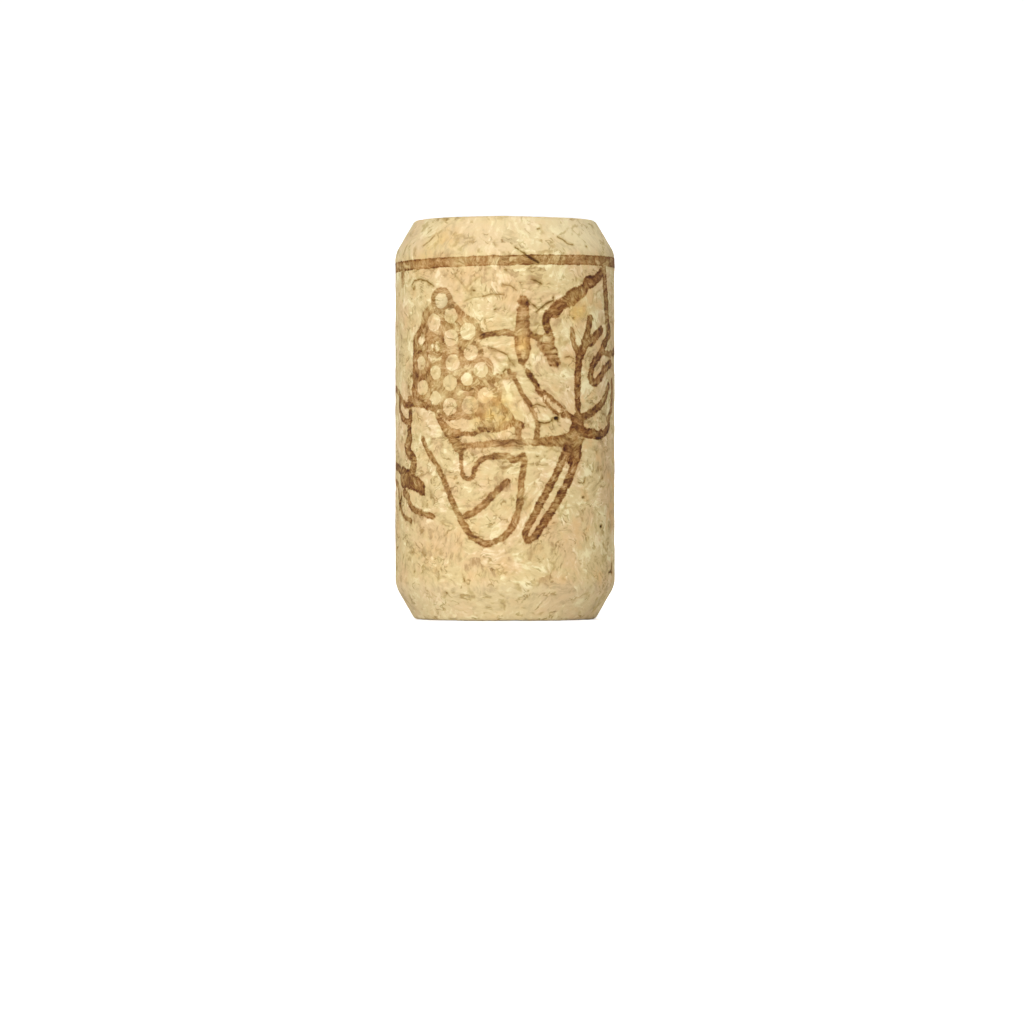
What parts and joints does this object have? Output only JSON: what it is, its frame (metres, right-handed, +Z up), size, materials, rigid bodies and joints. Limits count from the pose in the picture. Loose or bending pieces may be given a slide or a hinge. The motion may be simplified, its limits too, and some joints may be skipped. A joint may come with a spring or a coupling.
{
  "type": "wine cork",
  "caption": "Straight agglomerated wine cork with chamfered ends, printed on its side with a stripe and a grapevine motif.",
  "frame": {"origin": "centre of the lower end face, where the cork stands", "axes": "+Z up along the cork's axis towards the end that shows above the bottle; -Y is the printed front, with the leaf and the grapes; +X is to the right of that front"},
  "size_m": [0.021, 0.021, 0.038],
  "materials": {
    "cork": "pressed cork granules, ground smooth, with brown ink printed on the side"
  },
  "bodies": {
    "root": {"cork": "cork"}
  },
  "joints": []
}
